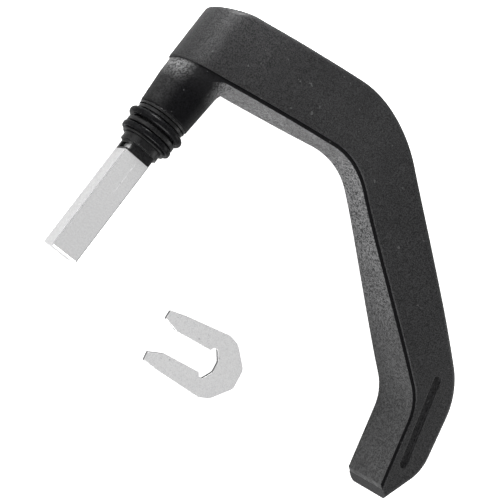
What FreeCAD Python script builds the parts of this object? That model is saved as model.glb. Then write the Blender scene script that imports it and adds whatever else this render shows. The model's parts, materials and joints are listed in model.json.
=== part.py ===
import FreeCAD, Part
import Sketcher, math, os
from FreeCAD import Vector, Placement, Rotation

# Sealed-spindle lever handle with its loose retaining clip.
# +X runs from the hub axis to the grip, +Y up the hub axis (the drive bar points to -Y),
# +Z is up when the lever lies on its side on a bench. The lever's mid-plane is z = 0.
# Everything is drawn with y = 0 at the hub's seat face. At the end the pieces move up together,
# which puts the origin on the hub axis at the middle of the stem's collar.

# Driving dimensions, mm. "_rad" is a radius. The "_y" sizes of the bar end, stem, bush rings
# and ring centre are depths below the seat face; the others are heights above it.
SIZES = {
    # drive bar and its thinner shank
    "bar_side": 9.0, "bar_corner": 0.35, "shank_side": 7.0, "bar_end_y": 50.4,
    "bar_top_y": 26.0, "bar_end_break": 0.4,
    # hub, the column inside the boss, and the shell's bore for it
    "hub_rad": 8.3, "hub_top_rad": 9.2, "hub_height": 24.0, "hub_blend_rad": 7.0,
    "column_rad": 7.85, "column_low_y": 6.0, "column_top_y": 28.5,
    "bore_rad": 7.9, "bore_top_y": 28.6,
    # stem
    "stem_rad": 6.0, "collar_rad": 6.25, "collar_top_y": 10.2, "stem_low_y": 12.4,
    "neck_low_y": 15.4,
    # socket in the hub
    "socket_rad": 6.9, "socket_step_y": 8.0, "socket_top_y": 26.0,
    # bush, rings and washer
    "bush_bore_rad": 6.05, "bush_body_rad": 6.75, "bush_flange_rad": 7.8, "bush_rib_rad": 8.15,
    "ring_minor_rad": 1.25, "ring_centre_rad": 8.02, "ring_centre_y": 3.8,
    "lower_ring_rad": 8.45, "lower_ring_top_y": 7.45, "lower_ring_low_y": 9.3,
    "washer_rad": 8.1, "washer_thick": 0.7,
    # cross pin
    "pin_rad": 1.5, "pin_height_y": 17.0, "pin_inset": 0.3,
    # lever: slab the shell is cut from, edge rounding, inner strip with its tongue
    "lever_slab": 26.0, "edge_round": 1.8, "inner_edge_round": 0.4,
    "core_proud": 1.3, "core_inset": 0.55,
    "tongue_wall": 1.9, "tongue_gap": 0.05, "tongue_deep": 2.3,
    "groove_width": 3.4, "groove_depth": 1.2,
    # clip, and the bench's depth below the mid-plane (half the grip's greatest width)
    "clip_thick": 1.2, "clip_rollover": 0.2, "bench_z": 10.7,
}
size = type("Sizes", (), SIZES)  # the same values, read as size.bar_side

doc = FreeCAD.newDocument("lever_handle")
sheet = doc.addObject("Spreadsheet::Sheet", "params")
for row, (alias, value) in enumerate(SIZES.items(), 1):
    sheet.set(f"A{row}", alias)
    sheet.set(f"B{row}", repr(value))
    sheet.setAlias(f"B{row}", alias)
doc.recompute()

# Outer wall of the lever in side view, from the boss to the grip's end: x, y, corner radius
OUTER = [
    (-14.0, 33.1, 0.0), (0.5, 39.8, 18.0), (61.6, 55.4, 40.0),
    (140.5, -4.9, 26.0), (146.3, -34.2, 16.0), (138.9, -49.5, 0.0),
]
# Inner face of the lever's inner strip, in the same direction: x, y, corner radius
CORE_LINE = [(-14.0, 13.2, 0.0), (58.2, 30.55, 23.0), (127.4, -17.9, 17.0), (134.1, -46.4, 0.0)]
# Top view, boss to waist to wide grip: x, half width
PLAN = [
    (0.2, 9.8), (14.0, 10.3), (28.0, 10.1), (42.0, 9.1), (54.0, 7.3), (65.0, 6.3), (77.0, 6.7),
    (90.0, 8.0), (105.0, 9.5), (118.0, 10.5), (130.0, 10.7), (140.0, 10.6), (155.0, 10.2),
]
PLAN_END_SLOPE = 0.03
# Cross ribs: a point x, y near each rib's foot on the shell's inner face
RIBS = [
    (17.0, 22.0), (31.0, 24.5), (45.0, 28.0), (58.5, 29.5), (73.5, 19.2), (88.0, 9.3),
    (102.0, -0.3), (115.5, -9.6), (127.0, -17.0), (130.6, -30.5), (133.0, -43.5),
]
RIB_HALF = 0.8      # half a rib's thickness
CELL_OPEN = 0.6     # how far a cell's outline reaches past the inner face
OUTER_WALL = 3.2
SIDE_WALL = 3.0
CELL_CORNER = 1.0
THUMB_ENDS = (Vector(129.5, -7.1, 0), Vector(137.1, -36.1, 0))
TONGUE_TIP = 3.0    # tongue's seat stops this far short of the grip's end


# ---------- outlines ----------
def unit(vector):
    result = Vector(vector)
    result.normalize()
    return result


def left_of(direction):
    return Vector(-direction.y, direction.x, 0)


def rounded(points, closed=True):
    """Lines and tangent arcs through (x, y, corner radius) points."""
    count = len(points)
    places = [Vector(x, y, 0) for x, y, _ in points]
    corners = []  # where each corner starts, its arc's middle if it has one, where it ends
    for i, (place, (_, _, radius)) in enumerate(zip(places, points)):
        if radius <= 0 or (not closed and i in (0, count - 1)):
            corners.append((place, None, place))
            continue
        back = unit(places[i - 1] - place)
        ahead = unit(places[(i + 1) % count] - place)
        half_angle = back.getAngle(ahead) / 2.0
        reach = radius / math.tan(half_angle)
        inward = unit(back + ahead)
        middle = place + inward * (radius / math.sin(half_angle) - radius)
        corners.append((place + back * reach, middle, place + ahead * reach))
    curves = []
    for i, (start, middle, end) in enumerate(corners):
        if middle is not None:
            curves.append(Part.Arc(start, middle, end))
        if i == count - 1 and not closed:
            break
        following = corners[(i + 1) % count][0]
        if (end - following).Length > 1e-6:
            curves.append(Part.LineSegment(end, following))
    return curves


def rect(x0, y0, x1, y1):
    return rounded([(x0, y0, 0), (x1, y0, 0), (x1, y1, 0), (x0, y1, 0)])


def squared(side):
    """Square section with its four corners broken."""
    half = side / 2
    flat = half - size.bar_corner
    corners = [
        (-half, -flat), (-flat, -half), (flat, -half), (half, -flat),
        (half, flat), (flat, half), (-flat, half), (-half, flat),
    ]
    return rounded([(x, y, 0) for x, y in corners])


def slot(start, end, width):
    along = unit(end - start) * (width / 2)
    side = left_of(along)
    return [
        Part.LineSegment(start + side, end + side),
        Part.Arc(end + side, end + along, end - side),
        Part.LineSegment(end - side, start - side),
        Part.Arc(start - side, start - along, start + side),
    ]


def core_line(distance, tip_back=0.0):
    """CORE_LINE moved towards the outer wall, ending on the grip's end cut back by tip_back."""
    places = [Vector(x, y, 0) for x, y, _ in CORE_LINE]
    runs = [unit(end - start) for start, end in zip(places, places[1:])]
    points = []
    for i, (x, y, radius) in enumerate(CORE_LINE[:-1]):
        normals = [left_of(run) for run in runs[max(i - 1, 0):i + 1]]
        side = sum(normals, Vector(0, 0, 0))
        step = side * (len(normals) * distance / side.dot(side))
        points.append((x + step.x, y + step.y, radius + distance if radius else 0.0))
    # the blunt end of the grip runs from the inner line out to the outer wall
    blunt = unit(Vector(OUTER[-1][0], OUTER[-1][1], 0) - places[-1])
    tip = places[-1] + blunt * (distance / blunt.dot(left_of(runs[-1]))) - runs[-1] * tip_back
    return points + [(tip.x, tip.y, 0.0)]


def plan_curves(shrink=0.0):
    """Closed top view outline, its half widths reduced by shrink."""
    points = [(x, width - shrink) for x, width in PLAN]
    sides = []
    for sign in (1, -1):
        spline = Part.BSplineCurve()
        spline.interpolate(
            Points=[Vector(x, sign * width, 0) for x, width in points],
            InitialTangent=Vector(1, 0, 0),
            FinalTangent=Vector(1, -sign * PLAN_END_SLOPE, 0))
        sides.append(spline)
    x0, boss = points[0]
    x1, tip = points[-1]
    return [
        sides[0],
        Part.LineSegment(Vector(x1, tip, 0), Vector(x1, -tip, 0)),
        sides[1],
        Part.Arc(Vector(x0, -boss, 0), Vector(x0 - boss, 0, 0), Vector(x0, boss, 0)),
    ]


def half_width(x):
    """Half width of the lever at x, straight between the PLAN stations."""
    (x0, w0), (x1, w1) = next(
        pair for pair in zip(PLAN, PLAN[1:]) if pair[0][0] <= x <= pair[1][0])
    return w0 + (w1 - w0) * (x - x0) / (x1 - x0)


def open_wire(points):
    return Part.Wire([curve.toShape() for curve in rounded(points, False)])


def foot(wire, point):
    """The point of the wire nearest to the given point."""
    return wire.distToShape(Part.Vertex(point))[1][0][0]


# ---------- PartDesign features ----------
def new_body(name):
    return doc.addObject("PartDesign::Body", name + "_body")


def sketch_on(body, role, name, geometry=(), offset=0.0):
    """Sketch on an origin plane. The XZ plane faces -Y, so its offset is a depth."""
    sketch = body.newObject("Sketcher::SketchObject", name)
    support = next(f for f in body.Origin.OriginFeatures if getattr(f, "Role", "") == role)
    sketch.AttachmentSupport = [(support, "")]
    sketch.MapMode = "FlatFace"
    sketch.AttachmentOffset = Placement(Vector(0, 0, offset), Rotation())
    if geometry:
        sketch.addGeometry(list(geometry), False)
    return sketch


def add_circle(sketch, alias, x=0.0, y=0.0):
    """Circle with its radius driven by the sheet, held to the sketch origin if drawn there."""
    radius = SIZES[alias]
    index = sketch.addGeometry(Part.Circle(Vector(x, y, 0), Vector(0, 0, 1), radius), False)
    if x == 0 and y == 0:
        sketch.addConstraint(Sketcher.Constraint("Coincident", index, 3, -1, 1))
    constraint = sketch.addConstraint(Sketcher.Constraint("Radius", index, radius))
    sketch.setExpression(f"Constraints[{constraint}]", "params." + alias)


def pad(body, sketch, length, name, kind="Pad", turned_round=False):
    """Pad or Pocket; length is a number or an expression on the sheet."""
    feature = body.newObject("PartDesign::" + kind, name)
    feature.Profile = sketch
    if isinstance(length, str):
        feature.setExpression("Length", length)
    else:
        feature.Length = length
    feature.Reversed = turned_round
    body.Tip = feature
    doc.recompute()
    return feature


def pocket(body, sketch, length, name):
    """Pocket that is turned round if it takes no material away."""
    least = body.Shape.Volume - 1e-3
    feature = pad(body, sketch, length, name, "Pocket")
    if body.Shape.Volume > least:
        feature.Reversed = True
        doc.recompute()
    assert body.Shape.Volume < least, name


def turned(name, outline):
    """Body revolved about the hub axis from a half outline."""
    body = new_body(name)
    sketch = sketch_on(body, "XY_Plane", name + "_half", outline)
    feature = body.newObject("PartDesign::Revolution", name + "_turned")
    feature.Profile = sketch
    feature.ReferenceAxis = (sketch, ["V_Axis"])
    feature.Angle = 360.0
    body.Tip = feature
    doc.recompute()
    return body


def break_edges(body, kind, size_property, alias, name, wanted):
    """Fillet or Chamfer on the edges of the body that are wanted."""
    base = body.Tip
    edges = [f"Edge{i}" for i, edge in enumerate(body.Shape.Edges, 1) if wanted(edge)]
    feature = body.newObject("PartDesign::" + kind, name)
    feature.Base = (base, edges)
    feature.setExpression(size_property, "params." + alias)
    body.Tip = feature
    doc.recompute()


def broach(body, name, offset, depth):
    """Square hole for the bar's shank."""
    sketch = sketch_on(body, "XZ_Plane", name + "_square", squared(size.shank_side), offset)
    pocket(body, sketch, depth, name + "_broach")


def pin_hole(body, name):
    sketch = sketch_on(body, "YZ_Plane", name + "_pin_circle", offset=-20)
    add_circle(sketch, "pin_rad", size.pin_height_y)
    pocket(body, sketch, 40.0, name + "_pin_hole")


# ---------- Part features ----------
def extrude(name, sketch, direction):
    feature = doc.addObject("Part::Extrusion", name)
    feature.Base = sketch
    feature.DirMode = "Custom"
    feature.Dir = direction
    feature.Solid = True
    feature.Symmetric = True
    return feature


def cylinder(name, alias, low_y, height):
    """Upright cylinder on the hub axis; height is an expression."""
    feature = doc.addObject("Part::Cylinder", name)
    feature.setExpression("Radius", "params." + alias)
    feature.setExpression("Height", height)
    feature.Placement = Placement(Vector(0, low_y, 0), Rotation(Vector(1, 0, 0), -90))
    return feature


def combine(kind, name, shapes):
    feature = doc.addObject("Part::" + kind, name)
    feature.Shapes = shapes
    return feature


def cut(name, base, tool):
    feature = doc.addObject("Part::Cut", name)
    feature.Base = base
    feature.Tool = tool
    return feature


def strip(name, low, high, tip_back, shrink):
    """Strip between two moved core lines, inside the shrunk plan; also returns the plan prism."""
    side_sketch = doc.addObject("Sketcher::SketchObject", name + "_side_sketch")
    band = core_line(low, tip_back) + core_line(high, tip_back)[::-1]
    side_sketch.addGeometry(rounded(band), False)
    side = extrude(name + "_side", side_sketch, Vector(0, 0, 1))
    side.setExpression("LengthFwd", "params.lever_slab")

    plan_sketch = doc.addObject("Sketcher::SketchObject", name + "_plan_sketch")
    plan_sketch.Placement = Placement(Vector(0, 0, 0), Rotation(Vector(1, 0, 0), 90))
    plan_sketch.addGeometry(plan_curves(shrink), False)
    plan = extrude(name + "_plan", plan_sketch, Vector(0, 1, 0))
    plan.LengthFwd = 200.0
    return combine("MultiCommon", name + "_common", [side, plan]), plan


# ---------- lever_shell: moulded outer body of the lever ----------
def lies_over(wire, reach=0.7):
    """Picks edges that follow the wire in side view, but not straight ones that run across."""
    def wanted(edge):
        ends = [vertex.Point for vertex in edge.Vertexes]
        if (len(ends) == 2 and abs(ends[0].z - ends[1].z) > 0.5
                and isinstance(edge.Curve, Part.Line)):
            return False
        for share in (0.25, 0.5, 0.75):
            span = edge.LastParameter - edge.FirstParameter
            point = edge.valueAt(edge.FirstParameter + span * share)
            if wire.distToShape(Part.Vertex(Vector(point.x, point.y, 0)))[0] > reach:
                return False
        return True
    return wanted


def cut_thumb_grooves(shell):
    """One groove in each side of the grip."""
    depth = "params.lever_slab / 2 - params.bench_z + params.groove_depth"
    floor_z = size.bench_z - size.groove_depth
    for tag, top_z in (("near", size.lever_slab / 2), ("far", -floor_z)):
        outline = slot(*THUMB_ENDS, size.groove_width)
        sketch = sketch_on(shell, "XY_Plane", "thumb_" + tag, outline, top_z)
        pocket(shell, sketch, depth, "thumb_cut_" + tag)


def cut_cells(shell, inner_wire, outer_wire):
    """Hollow cells between the cross ribs, open to the inner face."""
    for k, stations in enumerate(zip(RIBS, RIBS[1:])):
        near, far = [foot(inner_wire, Vector(x, y, 0)) for x, y in stations]
        step = unit(far - near) * RIB_HALF
        opening, roof, across = [], [], []
        for inner, inset in ((near, step), (far, step * -1)):
            outer = foot(outer_wire, inner)
            outward = unit(outer - inner)
            opening.append(inner + inset - outward * CELL_OPEN)
            roof.append(inner + inset + outward * ((outer - inner).Length - OUTER_WALL))
            across += [inner.x, outer.x]
        half = min(half_width(x) for x in across) - SIDE_WALL
        outline = rounded([
            (opening[0].x, opening[0].y, 0), (roof[0].x, roof[0].y, CELL_CORNER),
            (roof[1].x, roof[1].y, CELL_CORNER), (opening[1].x, opening[1].y, 0)])
        sketch = sketch_on(shell, "XY_Plane", f"cell_{k:02d}", outline, half)
        pocket(shell, sketch, 2 * half, f"hollow_{k:02d}")


def make_lever_shell():
    inner_line = core_line(size.core_proud)
    outer_wire, inner_wire = open_wire(OUTER), open_wire(inner_line)

    shell = new_body("shell")
    sketch = sketch_on(shell, "XY_Plane", "side_outline", rounded(OUTER + inner_line[::-1]),
                       -size.lever_slab / 2)
    sketch.setExpression("AttachmentOffset.Base.z", "-params.lever_slab / 2")
    pad(shell, sketch, "params.lever_slab", "slab")
    frame = rect(-40, -40, 200, 40)
    sketch = sketch_on(shell, "XZ_Plane", "plan_trim", frame + plan_curves(), -80.0)
    pocket(shell, sketch, 160.0, "plan_cut")
    break_edges(shell, "Fillet", "Radius", "edge_round", "outer_rounding",
                lies_over(outer_wire))
    break_edges(shell, "Fillet", "Radius", "inner_edge_round", "inner_rounding",
                lies_over(inner_wire))
    cut_thumb_grooves(shell)
    cut_cells(shell, inner_wire, outer_wire)

    # room for the core's tongue, all round by the gap, and for its column
    seat, _ = strip("seat", size.core_proud - 2.0,
                    size.core_proud + size.tongue_deep + size.tongue_gap,
                    TONGUE_TIP, size.tongue_wall - size.tongue_gap)
    bore = cylinder("shell_bore", "bore_rad", 0.0, "params.bore_top_y")
    return cut("lever_shell", shell, combine("MultiFuse", "shell_tools", [seat, bore]))


# ---------- lever_core: hub, proud inner strip and the column inside the boss ----------
def make_hub():
    """Turned hub, flared by an arc that meets the inner strip's face, cut off inside the strip."""
    (x0, y0, _), (x1, y1, _) = CORE_LINE[:2]
    slope = (y1 - y0) / (x1 - x0)
    rise = math.atan(slope)
    top, blend, height = size.hub_top_rad, size.hub_blend_rad, size.hub_height
    centre_x = top + blend
    centre_y = y0 + slope * (centre_x - x0) - blend / math.cos(rise)

    def on_blend(angle):
        return Vector(centre_x + blend * math.cos(angle), centre_y + blend * math.sin(angle), 0)

    rim = on_blend(math.pi / 2 + rise)
    middle = on_blend(math.pi * 3 / 4 + rise / 2)
    outline = rounded([(0, 0, 0), (size.hub_rad, 0, 0.6), (top, centre_y, 0)], False)
    outline.append(Part.Arc(Vector(top, centre_y, 0), middle, rim))
    outline += rounded([(rim.x, rim.y, 0), (rim.x, height, 0), (0, height, 0), (0, 0, 0)], False)
    hub = turned("hub", outline)

    # everything above the strip's face belongs to the strip, so the hub stops inside it
    line_x, line_y, _ = core_line(size.core_proud * 0.5)[0]
    above = [(x, line_y + slope * (x - line_x), 0) for x in (-40, 40)] + [(40, 80, 0), (-40, 80, 0)]
    sketch = sketch_on(hub, "XY_Plane", "hub_top_line", rounded(above), 20.0)
    pocket(hub, sketch, 40.0, "hub_top_cut")
    return hub


def make_lever_core():
    proud, gap = size.core_proud, size.tongue_gap
    hub = make_hub()
    flange, flange_plan = strip("flange", 0.0, proud - gap, 0.0, size.core_inset)
    tongue, _ = strip("tongue", proud * 0.4, proud + size.tongue_deep,
                      TONGUE_TIP + gap, size.tongue_wall)
    hub_in_plan = combine("MultiCommon", "hub_in_plan", [hub, flange_plan])
    column = cylinder("column", "column_rad", size.column_low_y,
                      "params.column_top_y - params.column_low_y")
    blank = combine("MultiFuse", "core_blank", [hub_in_plan, flange, tongue, column])
    overrun = 2.0  # the socket starts this far below the seat face
    socket = cylinder("socket", "socket_rad", -overrun, f"params.socket_top_y + {overrun}")
    core = cut("lever_core", blank, socket)
    doc.recompute()
    return core


# ---------- hub_insert: round core in the hub, with a groove near each end ----------
def make_hub_insert():
    rad, low, top = size.socket_rad, size.socket_step_y, size.socket_top_y
    floor = rad - 0.6           # groove floor
    start, stop = 4.0, 5.5      # groove sides, from the nearer end
    insert = turned("core", rounded([
        (0, low, 0), (rad, low, 0),
        (rad, low + start, 0), (floor, low + start, 0),
        (floor, low + stop, 0), (rad, low + stop, 0),
        (rad, top - stop, 0), (floor, top - stop, 0),
        (floor, top - start, 0), (rad, top - start, 0),
        (rad, top, 0.3), (0, top, 0)]))
    broach(insert, "core", 0.0, 60.0)
    pin_hole(insert, "core")
    return insert


# ---------- drive_spindle: square bar below, thinner square shank above ----------
def make_drive_spindle():
    bar = new_body("bar")
    sketch = sketch_on(bar, "XZ_Plane", "bar_square", squared(size.bar_side), size.neck_low_y)
    pad(bar, sketch, "params.bar_end_y - params.neck_low_y", "bar")
    sketch = sketch_on(bar, "XZ_Plane", "shank_square", squared(size.shank_side),
                       size.neck_low_y)
    pad(bar, sketch, "params.neck_low_y + params.bar_top_y", "shank", turned_round=True)
    break_edges(bar, "Chamfer", "Size", "bar_end_break", "bar_end_break",
                lambda edge: abs(edge.BoundBox.YMax + size.bar_end_y) < 1e-3)
    pin_hole(bar, "bar")
    return bar


# ---------- cross_pin: through insert and bar ----------
def make_cross_pin():
    pin = doc.addObject("Part::Cylinder", "cross_pin")
    pin.setExpression("Radius", "params.pin_rad")
    pin.setExpression("Height", "2 * (params.socket_rad - params.pin_inset)")
    start = Vector(size.pin_inset - size.socket_rad, size.pin_height_y, 0)
    pin.Placement = Placement(start, Rotation(Vector(0, 1, 0), 90))
    return pin


# ---------- stem: round above, square neck flush with the bar below ----------
def make_stem():
    rad, collar, head = size.stem_rad, size.collar_rad, size.socket_rad
    neck_low, stem_low = -size.neck_low_y, -size.stem_low_y
    collar_top, head_top = -size.collar_top_y, size.socket_step_y
    stem = turned("stem", rounded([
        (0, neck_low, 0), (rad, neck_low, 0.3), (rad, stem_low, 0),
        (collar, stem_low, 0), (collar, collar_top, 0), (rad, collar_top, 0),
        (rad, 0, 0), (head, 0, 0), (head, head_top, 0), (0, head_top, 0)]))
    flats = rect(-20, -20, 20, 20) + squared(size.bar_side)
    sketch = sketch_on(stem, "XZ_Plane", "neck_flats", flats, size.neck_low_y + 1.0)
    pocket(stem, sketch, "params.neck_low_y + 1 - params.stem_low_y", "neck_cut")
    broach(stem, "stem", -40, 80.0)

    # opposite windows for the clip's legs, each open at one corner, with a thin rim below
    window_low, window_top = -14.85, -12.95
    window_z = 2.4      # closed end, from the mid-plane
    window_reach = 9.0  # from the axis
    for sign, tag in ((-1, "left"), (1, "right")):
        x0, x1 = sorted((sign * size.shank_side / 2, sign * window_reach))
        sketch = sketch_on(stem, "XY_Plane", "notch_" + tag,
                           rect(x0, window_low, x1, window_top), sign * window_z)
        pad(stem, sketch, 12.0, "notch_cut_" + tag, "Pocket", turned_round=sign < 0)
    return stem


# ---------- gland_bush: two ring grooves and a rib between them ----------
def make_gland_bush():
    bore, groove = size.bush_bore_rad, size.bush_body_rad
    flange, rib, lip = size.bush_flange_rad, size.bush_rib_rad, groove + 0.5
    # radius, y, corner radius
    return turned("bush", rounded([
        (bore, -0.95, 0), (flange, -0.95, 0.2), (flange, -2.2, 0.2), (groove, -2.2, 0),
        (groove, -5.6, 0), (rib, -5.6, 0.4), (rib, -7.15, 0.4), (groove, -7.15, 0),
        (groove, -9.55, 0), (lip, -9.55, 0.1), (lip, -10.1, 0.1), (bore, -10.1, 0)]))


# ---------- rings and washer ----------
def make_upper_ring():
    ring = doc.addObject("Part::Torus", "upper_o_ring")
    ring.setExpression("Radius1", "params.ring_centre_rad")
    ring.setExpression("Radius2", "params.ring_minor_rad")
    centre = Vector(0, -size.ring_centre_y, 0)
    ring.Placement = Placement(centre, Rotation(Vector(1, 0, 0), 90))
    return ring


def make_lower_ring():
    inner, outer = size.bush_body_rad + 0.02, size.lower_ring_rad
    low, top = -size.lower_ring_low_y, -size.lower_ring_top_y
    return turned("lower_ring", rounded([
        (inner, low, 0.5), (outer, low, 0.6), (outer, top, 0.6), (inner, top, 0.5)]))


def make_hub_washer():
    washer = new_body("washer")
    sketch = sketch_on(washer, "XZ_Plane", "washer_circles", offset=0.1)
    add_circle(sketch, "washer_rad")
    add_circle(sketch, "bush_bore_rad")
    pad(washer, sketch, "params.washer_thick", "washer_disc")
    return washer


# ---------- retaining_clip: flat U, loose on the bench ----------
# Half outline, mirrored in the clip's own x axis: x, y, corner radius
CLIP_HALF = [
    (20.9, 3.5, 2.5), (14.7, 10.0, 5.0), (10.6, 11.2, 1.5), (-6.2, 9.8, 3.0),
    (-12.4, 8.8, 0.6), (-12.6, 5.9, 0.4), (-7.0, 3.95, 1.5), (6.8, 3.95, 0.4),
    (7.5, 5.2, 0.4), (8.9, 5.2, 0.6), (11.2, 1.8, 2.0),
]
CLIP_X, CLIP_Y, CLIP_TURN = 56.95, -49.5, 8.3  # place on the bench, degrees about Z


def make_retaining_clip():
    clip = new_body("clip")
    outline = CLIP_HALF + [(x, -y, radius) for x, y, radius in reversed(CLIP_HALF)]
    sketch = sketch_on(clip, "XY_Plane", "clip_outline", rounded(outline))
    pad(clip, sketch, "params.clip_thick", "clip_plate")

    def on_top(edge):
        box = edge.BoundBox
        return all(abs(z - size.clip_thick) < 1e-4 for z in (box.ZMin, box.ZMax))

    break_edges(clip, "Fillet", "Radius", "clip_rollover", "clip_rollover", on_top)
    clip.Placement = Placement(Vector(CLIP_X, CLIP_Y, -size.bench_z),
                               Rotation(Vector(0, 0, 1), CLIP_TURN))
    return clip


pieces = {
    "lever_shell": make_lever_shell(),
    "lever_core": make_lever_core(),
    "hub_insert": make_hub_insert(),
    "drive_spindle": make_drive_spindle(),
    "cross_pin": make_cross_pin(),
    "stem": make_stem(),
    "gland_bush": make_gland_bush(),
    "upper_o_ring": make_upper_ring(),
    "lower_ring": make_lower_ring(),
    "hub_washer": make_hub_washer(),
    "retaining_clip": make_retaining_clip(),
}
doc.recompute()

# move everything up so that the collar's middle is the origin
lift = Placement(Vector(0, (size.collar_top_y + size.stem_low_y) / 2, 0), Rotation())
for node, piece in pieces.items():
    piece.Label = node
    piece.Placement = lift.multiply(piece.Placement)
doc.recompute()
for item in doc.Objects:
    assert not ("Invalid" in item.State or "Error" in item.State), (item.Name, item.State)

os.makedirs("parts", exist_ok=True)
for node, piece in pieces.items():
    shape = piece.Shape
    assert not shape.isNull() and shape.isValid() and len(shape.Solids) == 1, node
    shape.exportStep(f"parts/{node}.step")
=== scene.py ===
# A lever assembly with a moulded stem and a metal spindle bar, lying along Y on a white floor.
# The bar runs toward -Y from the foot of the stem, near x = 0, with its upper flat facing +Z.
# Scene units are metres, +Z up; names ending in _mm are in millimetres.
import bpy, bmesh, json, math
from mathutils import Matrix, Vector


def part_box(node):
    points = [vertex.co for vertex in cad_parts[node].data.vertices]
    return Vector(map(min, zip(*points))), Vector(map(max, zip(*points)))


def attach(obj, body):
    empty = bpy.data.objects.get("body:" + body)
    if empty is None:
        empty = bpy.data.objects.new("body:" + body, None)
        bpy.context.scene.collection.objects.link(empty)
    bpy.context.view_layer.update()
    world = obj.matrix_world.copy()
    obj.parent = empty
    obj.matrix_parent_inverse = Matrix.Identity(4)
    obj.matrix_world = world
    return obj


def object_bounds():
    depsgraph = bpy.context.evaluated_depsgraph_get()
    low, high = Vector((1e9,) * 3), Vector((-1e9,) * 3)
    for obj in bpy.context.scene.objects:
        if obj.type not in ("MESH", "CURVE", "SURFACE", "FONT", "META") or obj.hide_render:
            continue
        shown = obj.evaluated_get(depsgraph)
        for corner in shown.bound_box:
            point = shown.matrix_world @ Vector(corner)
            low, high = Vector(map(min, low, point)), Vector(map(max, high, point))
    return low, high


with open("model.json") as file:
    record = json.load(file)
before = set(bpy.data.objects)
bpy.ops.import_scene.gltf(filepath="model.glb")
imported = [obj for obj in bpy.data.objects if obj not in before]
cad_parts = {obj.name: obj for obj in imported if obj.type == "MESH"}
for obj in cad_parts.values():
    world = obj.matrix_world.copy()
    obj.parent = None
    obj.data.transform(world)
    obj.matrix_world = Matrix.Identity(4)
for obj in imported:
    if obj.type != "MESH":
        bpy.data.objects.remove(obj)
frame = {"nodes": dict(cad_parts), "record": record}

MM = 0.001
cad_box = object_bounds()


# ---------------------------------------------------------------- node helpers
class Nodes:
    """Adds nodes to one node tree."""

    def __init__(self, tree):
        self.tree = tree

    def feed(self, node, inputs):
        """Sets or links inputs, given by name or index. Colours are RGB."""
        for key, value in inputs.items():
            socket = node.inputs[key]
            if isinstance(value, bpy.types.NodeSocket):
                self.tree.links.new(value, socket)
            elif socket.type == "RGBA":
                socket.default_value = (*value, 1.0)
            else:
                socket.default_value = value

    def node(self, kind, inputs=None, **settings):
        node = self.tree.nodes.new(kind)
        for key, value in settings.items():
            setattr(node, key, value)
        self.feed(node, inputs or {})
        return node

    def tex_coord(self, kind):
        return self.node("ShaderNodeTexCoord").outputs[kind]

    def component(self, vector, axis):
        return self.node("ShaderNodeSeparateXYZ", {0: vector}).outputs[axis]

    def ramp(self, value, span, to=(0.0, 1.0)):
        """Maps the span linearly to another one, clamped at both ends."""
        inputs = {0: value, 1: span[0], 2: span[1], 3: to[0], 4: to[1]}
        return self.node("ShaderNodeMapRange", inputs).outputs[0]


class Mat(Nodes):
    """A procedural material. Texture coordinates are object coordinates in millimetres."""

    def __init__(self, name, textured=True):
        self.material = bpy.data.materials.new(name)
        self.material.use_nodes = True
        super().__init__(self.material.node_tree)
        self.tree.nodes.clear()
        self.output = self.node("ShaderNodeOutputMaterial")
        self.bsdf = self.node("ShaderNodeBsdfPrincipled")
        self.surface(self.bsdf.outputs[0])
        if textured:
            self.coords = self.stretched(self.tex_coord("Object"), (1000, 1000, 1000))

    def surface(self, shader):
        self.feed(self.output, {0: shader})

    def stretched(self, vector, scale):
        return self.node("ShaderNodeMapping", {0: vector, "Scale": scale}).outputs[0]

    def noise(self, scale, detail=2.0, rough=0.5, stretch=None):
        coords = self.stretched(self.coords, stretch) if stretch else self.coords
        inputs = {"Vector": coords, "Scale": scale, "Detail": detail, "Roughness": rough}
        return self.node("ShaderNodeTexNoise", inputs).outputs[0]

    def math(self, operation, *values, clamp=False):
        inputs = dict(enumerate(values))
        node = self.node("ShaderNodeMath", inputs, operation=operation, use_clamp=clamp)
        return node.outputs[0]

    def times(self, value, factor, clamp=False):
        return self.math("MULTIPLY", value, factor, clamp=clamp)

    def mix(self, factor, first, second):
        # 6 and 7 are the colour inputs A and B
        inputs = {0: factor, 6: first, 7: second}
        return self.node("ShaderNodeMix", inputs, data_type="RGBA").outputs[2]

    def layer(self, under, mask, amount, colour):
        """A colour laid over another where the mask is high, at most by the amount."""
        return self.mix(self.times(mask, amount), under, colour)

    def rounded(self, radius_mm, samples=8):
        """The surface normal rounded over sharp edges within the radius."""
        node = self.node("ShaderNodeBevel", {"Radius": radius_mm * MM}, samples=samples)
        return node.outputs[0]

    def edge(self, radius_mm, gain):
        """High on sharp convex or concave edges, 0 on open faces."""
        normal = self.node("ShaderNodeNewGeometry").outputs["Normal"]
        inputs = {0: self.rounded(radius_mm, samples=6), 1: normal}
        dot = self.node("ShaderNodeVectorMath", inputs, operation="DOT_PRODUCT")
        return self.times(self.math("SUBTRACT", 1.0, dot.outputs["Value"]), gain, clamp=True)

    def bump(self, normal, height, strength, dist_mm):
        inputs = {"Strength": strength, "Distance": dist_mm * MM, "Height": height,
                  "Normal": normal}
        return self.node("ShaderNodeBump", inputs).outputs[0]

    def coord(self, axis):
        """One object coordinate in millimetres."""
        return self.component(self.coords, axis)

    def facing(self, axis):
        """How far the surface faces along an object axis, either way: 0 to 1."""
        return self.math("ABSOLUTE", self.component(self.tex_coord("Normal"), axis))


def tint(colour, factor):
    return tuple(min(1.0, value * factor) for value in colour)


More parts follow.
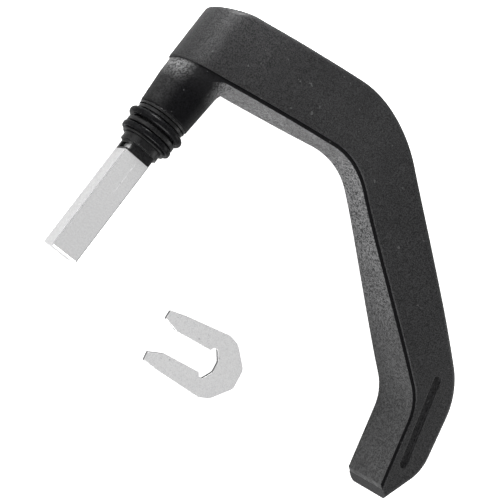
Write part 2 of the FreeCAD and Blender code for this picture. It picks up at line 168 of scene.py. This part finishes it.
# ---------------------------------------------------------------- materials
def moulded(name, dark, light, grain, speckle, edge, depth_mm, soft_mm, spec,
            rough=(0.42, 0.6), half=0.12, side_shade=None, hub_shade=None, tip_shade=None):
    """Moulded or turned plastic: mottled tone, fine grain, pale edges, partly rubbed wear and
    partly painted highlight.

    grain is the scale of the finest noise, half the half-width of its dark to light step.
    side_shade gives faces turned along Z another tone and specular level: painted shade on
    those faces. hub_shade darkens the low-x side, fading out over its x span and at y = 20 to
    25 mm: painted shade round the hub. tip_shade darkens along its y span, from the first end
           to the second: painted shade toward the tip.
    """
    m = Mat(name)
    # dark tone for the painted shade round the hub and toward the tip
    shade_colour = tint(dark, 0.6)
    fine = m.noise(scale=grain)
    mid = m.noise(scale=grain * 0.45)
    broad = m.noise(scale=0.045, detail=3)
    colour = m.mix(m.ramp(fine, span=(0.5 - half, 0.5 + half)), dark, light)
    speckles = m.ramp(mid, span=(0.5, 0.64))
    colour = m.layer(colour, speckles, amount=speckle, colour=tint(light, 1.9))
    colour = m.layer(colour, m.ramp(broad, span=(0.35, 0.7)), amount=0.3, colour=dark)
    shine = 1.0
    # painted shade round the hub: the low-x side is darkened and its specular lowered
    if hub_shade:
        hub_shade_mask = m.times(m.ramp(m.coord("X"), span=hub_shade["span"], to=(1.0, 0.0)),
                       m.ramp(m.coord("Y"), span=(20.0, 25.0), to=(1.0, 0.0)))
        colour = m.layer(colour, hub_shade_mask, amount=hub_shade["level"], colour=shade_colour)
        shine = m.math("SUBTRACT", 1.0, m.times(hub_shade_mask, factor=0.7))
    # painted shade: darker toward the tip
    if tip_shade:
        tip_shade_mask = m.ramp(m.coord("Y"), span=tip_shade["span"], to=(0.0, tip_shade["level"]))
        colour = m.mix(tip_shade_mask, colour, shade_colour)
    # painted shade: faces turned along Z take a darker tone and less specular
    if side_shade:
        side_shade_mask = m.ramp(m.facing("Z"), span=side_shade["span"])
        shaded_side_tone = m.mix(m.ramp(fine, span=(0.38, 0.62)),
                          tint(side_shade["tone"], 0.6), tint(side_shade["tone"], 1.4))
        colour = m.mix(side_shade_mask, colour, shaded_side_tone)
        spec = m.times(m.ramp(side_shade_mask, span=(0.0, 1.0), to=(spec, side_shade["spec"])), shine)

    # pale edges: partly rubbed wear, partly a painted highlight where edges catch the light
    edge_breakup = m.ramp(m.noise(scale=0.7, detail=3, rough=0.6), span=(0.3, 0.7), to=(0.35, 1.0))
    rubbed_and_highlit_edges = m.times(m.edge(radius_mm=0.32, gain=3.0), edge_breakup, clamp=True)
    colour = m.layer(colour, rubbed_and_highlit_edges, amount=0.75, colour=edge)
    dust = m.ramp(m.noise(scale=0.55, rough=0.4), span=(0.735, 0.75))
    colour = m.layer(colour, dust, amount=0.35, colour=(0.12, 0.12, 0.12))
    scuff_noise = m.noise(scale=0.16, detail=4, rough=0.65, stretch=(1.0, 0.35, 1.0))
    scuff = m.ramp(scuff_noise, span=(0.56, 0.74))
    roughness = m.math("ADD", m.ramp(fine, span=(0.35, 0.65), to=rough),
                       m.times(scuff, factor=-0.07))

    normal = m.bump(m.rounded(soft_mm), fine, strength=0.8, dist_mm=depth_mm)
    normal = m.bump(normal, mid, strength=0.5, dist_mm=depth_mm * 1.8)
    m.feed(m.bsdf, {"Base Color": colour, "Roughness": roughness,
                    "Specular IOR Level": spec, "Normal": normal})
    return m.material


def metal(name, base, dark, rough=(0.3, 0.45), stretch=(40, 0.4, 40), mottled=0.0,
          corner_shade=0.0, wall_shade=0.0):
    """Drawn or stamped metal: streaks, mottled tarnish, small pits.

    corner_shade darkens faces slanting between X and Z, a painted shade on the bar's broken
    corners; wall_shade darkens the cut edges of a sheet lying across Z, a painted shade on its
    upright walls.
    """
    m = Mat(name)
    streak = m.noise(scale=1.0, detail=3, rough=0.6, stretch=stretch)
    cloud = m.noise(scale=0.9, detail=4, rough=0.65)
    grain = m.noise(scale=2.2)
    colour = m.layer(base, m.ramp(streak, span=(0.35, 0.7)), amount=0.3, colour=dark)
    if mottled:
        clouds = m.ramp(cloud, span=(0.42, 0.6))
        colour = m.layer(colour, clouds, amount=mottled, colour=dark)
        grains = m.ramp(grain, span=(0.45, 0.6))
        colour = m.layer(colour, grains, amount=mottled * 0.7, colour=tint(base, 1.12))
    pits = m.ramp(m.noise(scale=0.9, rough=0.4), span=(0.735, 0.76))
    colour = m.layer(colour, pits, amount=0.6, colour=tint(dark, 0.5))
    edges = m.edge(radius_mm=0.16, gain=2.0)
    colour = m.layer(colour, edges, amount=0.4, colour=tint(dark, 0.6))
    # painted shade: faces slanting between X and Z darkened
    if corner_shade:
        corner_shade_mask = m.ramp(m.math("MINIMUM", m.facing("X"), m.facing("Z")), span=(0.3, 0.6))
        colour = m.layer(colour, corner_shade_mask, amount=corner_shade, colour=tint(dark, 0.12))
    # painted shade: the sheet's upright cut walls darkened, standing in for shadow along the
    # floor
    if wall_shade:
        wall_shade_mask = m.ramp(m.facing("Z"), span=(0.9, 0.3))
        colour = m.layer(colour, wall_shade_mask, amount=wall_shade, colour=tint(dark, 0.22))

    normal = m.bump(m.rounded(radius_mm=0.15), streak, strength=0.2, dist_mm=0.015)
    normal = m.bump(normal, cloud, strength=0.35, dist_mm=0.05)
    normal = m.bump(normal, grain, strength=0.3, dist_mm=0.03)
    normal = m.bump(normal, pits, strength=0.3, dist_mm=0.05)
    m.feed(m.bsdf, {"Base Color": colour, "Metallic": 0.9, "Normal": normal,
                    "Roughness": m.ramp(cloud, span=(0.3, 0.7), to=rough)})
    return m.material


mats = {
    # edge colours: pale edges, partly rubbed wear and partly painted highlight
    "black_moulding": moulded(
        "black_moulding", dark=(0.0015, 0.0015, 0.0018), light=(0.03, 0.03, 0.031),
        grain=2.7, speckle=0.15, edge=(0.075, 0.075, 0.077),
        depth_mm=0.09, soft_mm=0.35, spec=0.24),
    "core_grey": moulded(
        "core_grey", dark=(0.004, 0.004, 0.0045), light=(0.17, 0.17, 0.172),
        grain=1.9, speckle=0.35, edge=(0.09, 0.09, 0.092),
        depth_mm=0.2, soft_mm=0.3, spec=0.55, rough=(0.5, 0.68), half=0.06,
        # painted shade on faces turned along Z
        side_shade=dict(span=(0.62, 0.93), tone=(0.0035, 0.0035, 0.004), spec=0.1),
        # painted shade round the hub
        hub_shade=dict(span=(8.6, 10.2), level=0.85),
        # painted shade toward the tip
        tip_shade=dict(span=(34.0, 4.0), level=0.74)),
    "bar_metal": metal(
        "bar_metal", base=(0.86, 0.86, 0.86), dark=(0.72, 0.72, 0.73),
        # painted shade on the slanted corners
        mottled=0.7, corner_shade=0.7),
    "brass": metal("brass_core", base=(0.72, 0.56, 0.28), dark=(0.55, 0.4, 0.2)),
    "pin_steel": metal("pin_steel", base=(0.6, 0.6, 0.61), dark=(0.45, 0.45, 0.46)),
    "black_rubber": moulded(
        "black_rubber", dark=(0.002, 0.002, 0.0025), light=(0.006, 0.006, 0.0065),
        grain=2.0, speckle=0.2, edge=(0.008, 0.008, 0.008),
        depth_mm=0.02, soft_mm=0.1, spec=0.07, rough=(0.2, 0.34)),
    "bush_plastic": moulded(
        "bush_plastic", dark=(0.003, 0.003, 0.0035), light=(0.012, 0.012, 0.0125),
        grain=2.4, speckle=0.3, edge=(0.05, 0.05, 0.05),
        depth_mm=0.04, soft_mm=0.12, spec=0.22, rough=(0.26, 0.42)),
    "clip_steel": metal(
        "clip_steel", base=(0.9, 0.9, 0.9), dark=(0.66, 0.66, 0.67),
        # painted shade on the upright walls
        rough=(0.34, 0.52), stretch=(0.6, 0.6, 0.6), mottled=0.6, wall_shade=0.85),
}
slots = {part["node"]: part["material_slot"] for part in frame["record"]["subparts"]}
for node_name, obj in frame["nodes"].items():
    obj.data.materials.clear()
    obj.data.materials.append(mats[slots[node_name]])


# ---------------------------------------------------------------- small added pieces
def link_object(name, data):
    obj = bpy.data.objects.new(name, data)
    bpy.context.scene.collection.objects.link(obj)
    return obj


def mesh_object(name, bm):
    mesh = bpy.data.meshes.new(name)
    bm.to_mesh(mesh)
    bm.free()
    return link_object(name, mesh)


def lever_piece(name, rings, slot, closed=False):
    """Rings of equal length joined in order: capped at both ends, or last joined to first."""
    bm = bmesh.new()
    loops = [[bm.verts.new(point) for point in ring] for ring in rings]
    count = len(loops[0])
    following = loops[1:] + (loops[:1] if closed else [])
    for a, b in zip(loops, following):
        for i in range(count):
            j = (i + 1) % count
            bm.faces.new((a[i], a[j], b[j], b[i]))
    if not closed:
        bm.faces.new(loops[0][::-1])
        bm.faces.new(loops[-1])
    bmesh.ops.recalc_face_normals(bm, faces=bm.faces)
    obj = mesh_object(name, bm)
    obj.data.materials.append(mats[slot])
    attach(obj, "lever")


bar_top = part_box("drive_spindle")[1][2]
stem_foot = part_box("stem")[0][1]

# Drawn seam on the bar's upper flat: a low ridge that fades out at both ends
SEAM_X = 0.57 * MM
SEAM_START, SEAM_END = 0.6 * MM, 14.0 * MM  # distances from the stem's foot toward -Y
SEAM_SINK = 0.02 * MM  # centre line below the flat
SEAM_HALF_WIDTH, SEAM_HALF_HEIGHT = 0.13 * MM, 0.05 * MM
SEAM_STEPS, SEAM_SIDES = 28, 8


def seam_ring(t):
    """The seam's elliptical section at t, 0 to 1 along its length."""
    swell = max(0.04, math.sin(math.pi * t) ** 0.5) * (0.8 + 0.2 * math.sin(11.0 * t))
    y = stem_foot - SEAM_START - (SEAM_END - SEAM_START) * t
    ring = []
    for side in range(SEAM_SIDES):
        angle = 2 * math.pi * side / SEAM_SIDES
        ring.append((SEAM_X + SEAM_HALF_WIDTH * swell * math.cos(angle), y,
                     bar_top - SEAM_SINK + SEAM_HALF_HEIGHT * swell * math.sin(angle)))
    return ring


seam_rings = [seam_ring(k / SEAM_STEPS) for k in range(SEAM_STEPS + 1)]
lever_piece("bar_seam", seam_rings, "bar_metal")

# Thin moulded rim round the foot of the neck, where it meets the bar's shoulder
RIM_HALF_WIDTH = 4.5 * MM
RIM_CORNER_RADIUS = 1.1 * MM
CORNER_STEPS = 4
# section: distance outward from the half width, distance along +Y from the foot (mm)
RIM_SECTION = [(-0.12, 0.02), (0.1, 0.04), (0.14, 0.16), (0.1, 0.28), (-0.12, 0.3)]


def square_ring(half_width, y):
    """A square with rounded corners, in the XZ plane."""
    centre = half_width - RIM_CORNER_RADIUS
    points = []
    for sign_x, sign_z, start in ((1, 1, 0), (-1, 1, 90), (-1, -1, 180), (1, -1, 270)):
        for k in range(CORNER_STEPS + 1):
            angle = math.radians(start + 90 * k / CORNER_STEPS)
            points.append((sign_x * centre + RIM_CORNER_RADIUS * math.cos(angle), y,
                           sign_z * centre + RIM_CORNER_RADIUS * math.sin(angle)))
    return points


rim_rings = [square_ring(RIM_HALF_WIDTH + outward * MM, stem_foot + along * MM)
             for outward, along in RIM_SECTION]
lever_piece("neck_rim", rim_rings, "bush_plastic", closed=True)

# ---------------------------------------------------------------- floor
FLOOR_HALF_SIDE = 3.0
FLOOR_X = 0.06
FLOOR_GAP = 0.2 * MM  # below the lowest point of the product


def floor_material():
    """Glowing white to the camera, grey to other rays, see-through from below."""
    m = Mat("floor_white", textured=False)
    m.feed(m.bsdf, {"Base Color": (0.9, 0.9, 0.9), "Roughness": 0.9})
    glow = m.node("ShaderNodeEmission", {"Strength": 0.8})
    seen = m.node("ShaderNodeAddShader", {0: m.bsdf.outputs[0], 1: glow.outputs[0]})
    bounce = m.node("ShaderNodeBsdfDiffuse", {"Color": (0.56, 0.56, 0.56)})
    camera_ray = m.node("ShaderNodeLightPath").outputs["Is Camera Ray"]
    top = m.node("ShaderNodeMixShader",
                 {0: camera_ray, 1: bounce.outputs[0], 2: seen.outputs[0]})
    clear = m.node("ShaderNodeBsdfTransparent")
    backfacing = m.node("ShaderNodeNewGeometry").outputs["Backfacing"]
    one_way = m.node("ShaderNodeMixShader",
                     {0: backfacing, 1: top.outputs[0], 2: clear.outputs[0]})
    m.surface(one_way.outputs[0])
    return m.material


bm = bmesh.new()
bmesh.ops.create_grid(bm, x_segments=1, y_segments=1, size=FLOOR_HALF_SIDE)
floor = mesh_object("floor", bm)
floor.location = (FLOOR_X, 0, cad_box[0][2] - FLOOR_GAP)
floor.data.materials.append(floor_material())

# ---------------------------------------------------------------- camera
# rows: the camera's right, up and backward axes in the scene
CAMERA_AXES = Matrix((
    (0.683947, 0.577112, 0.446631),
    (-0.593797, 0.795988, -0.119174),
    (-0.424289, -0.1837, 0.886746),
))
CAMERA_PLACE = Vector((-92.4392, -63.1104, 295.8367)) * MM

cam_data = bpy.data.cameras.new("cam")
cam_data.sensor_width = 36.0
cam_data.lens = 76.2653892
cam_data.clip_start = 0.01
pose = CAMERA_AXES.transposed().to_4x4()
pose.translation = CAMERA_PLACE
cam = link_object("cam", cam_data)
cam.matrix_world = pose
bpy.context.scene.camera = cam

# ---------------------------------------------------------------- lights and world
# square area lights: name, place, point aimed at, side, power in watts
LIGHTS = [
    ("left_soft", (-0.5, 0.0, 0.2), (0.05, 0, 0), 0.4, 0.8),
    ("low_front", (0.1, -0.55, 0.1), (0.05, 0, 0), 0.45, 6.0),
    ("rim_right", (0.5, 0.15, 0.05), (0.1, 0.0, 0), 0.3, 0.6),
    ("boss_soft", (-0.05, 0.12, 0.05), (0.0, 0.05, 0.01), 0.05, 0.3),
]
for name, place, target, side, power in LIGHTS:
    light = bpy.data.lights.new(name, "AREA")
    light.shape = "RECTANGLE"
    light.size = light.size_y = side
    light.energy = power
    lamp = link_object(name, light)
    lamp.location = place
    aim = Vector(target) - Vector(place)
    lamp.rotation_euler = aim.to_track_quat("-Z", "Y").to_euler()

# white surroundings, dimmer overhead than at the horizon
world = bpy.data.worlds.new("world")
world.use_nodes = True
sky = Nodes(world.node_tree)
height = sky.component(sky.tex_coord("Generated"), "Z")
sky.feed(world.node_tree.nodes["Background"], {
    "Color": (1, 1, 1),
    "Strength": sky.ramp(height, span=(0.1, 0.85), to=(0.9, 0.52)),
})
bpy.context.scene.world = world
bpy.context.scene.view_settings.view_transform = "Standard"
